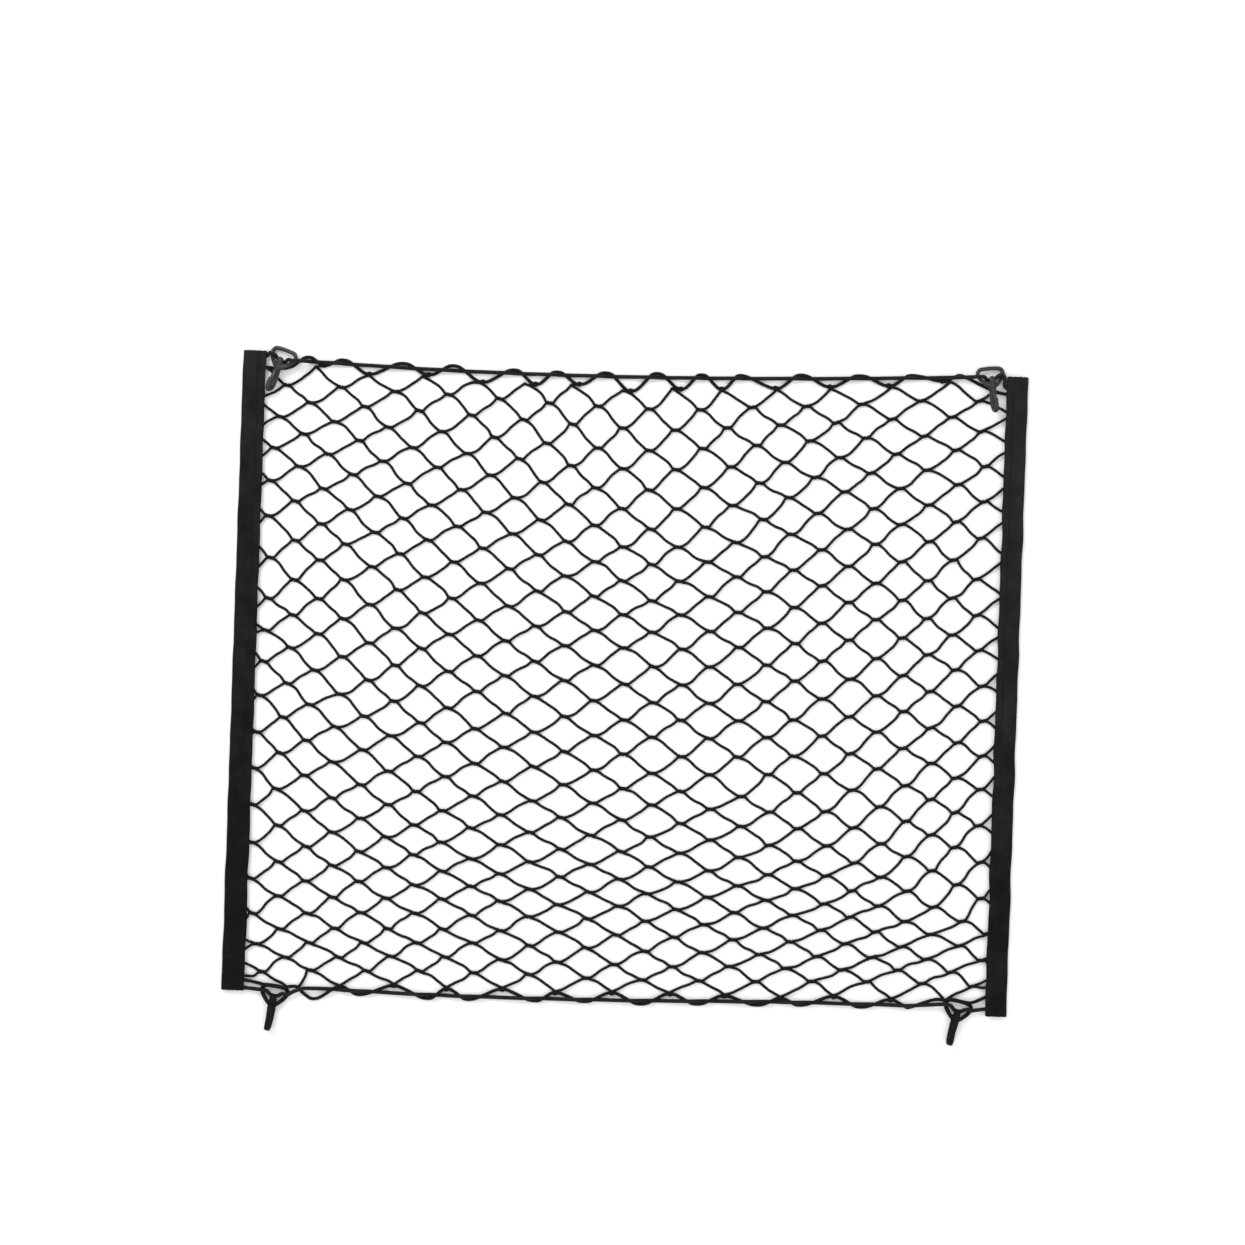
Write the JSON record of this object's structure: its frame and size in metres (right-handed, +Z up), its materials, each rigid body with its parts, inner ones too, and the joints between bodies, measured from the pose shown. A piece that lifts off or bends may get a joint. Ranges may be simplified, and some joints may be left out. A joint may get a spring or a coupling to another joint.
{
  "type": "cargo net",
  "caption": "Elastic diamond-mesh cargo net laid flat, taped down both sides, with a draw cord along the top and bottom edges and a plastic hook at each corner.",
  "frame": {"origin": "middle of the bounding box at the surface that the net lies on", "axes": "+X along the long edge from the left tape to the right tape, +Y from the bottom edge to the top edge, +Z up, away from the surface"},
  "size_m": [0.9, 0.7884, 0.0227],
  "materials": {
    "twine": "matte woven cover over elastic",
    "tape": "matte webbing",
    "cord": "matte braided cover over elastic",
    "hook_plastic": "satin moulded"
  },
  "bodies": {
    "root": {"net": "twine", "band_left": "tape", "band_right": "tape", "draw_cord_top": "cord", "draw_cord_bottom": "cord", "hook_top_left": "hook_plastic", "hook_top_right": "hook_plastic", "hook_bottom_left": "hook_plastic", "hook_bottom_right": "hook_plastic"}
  },
  "joints": []
}
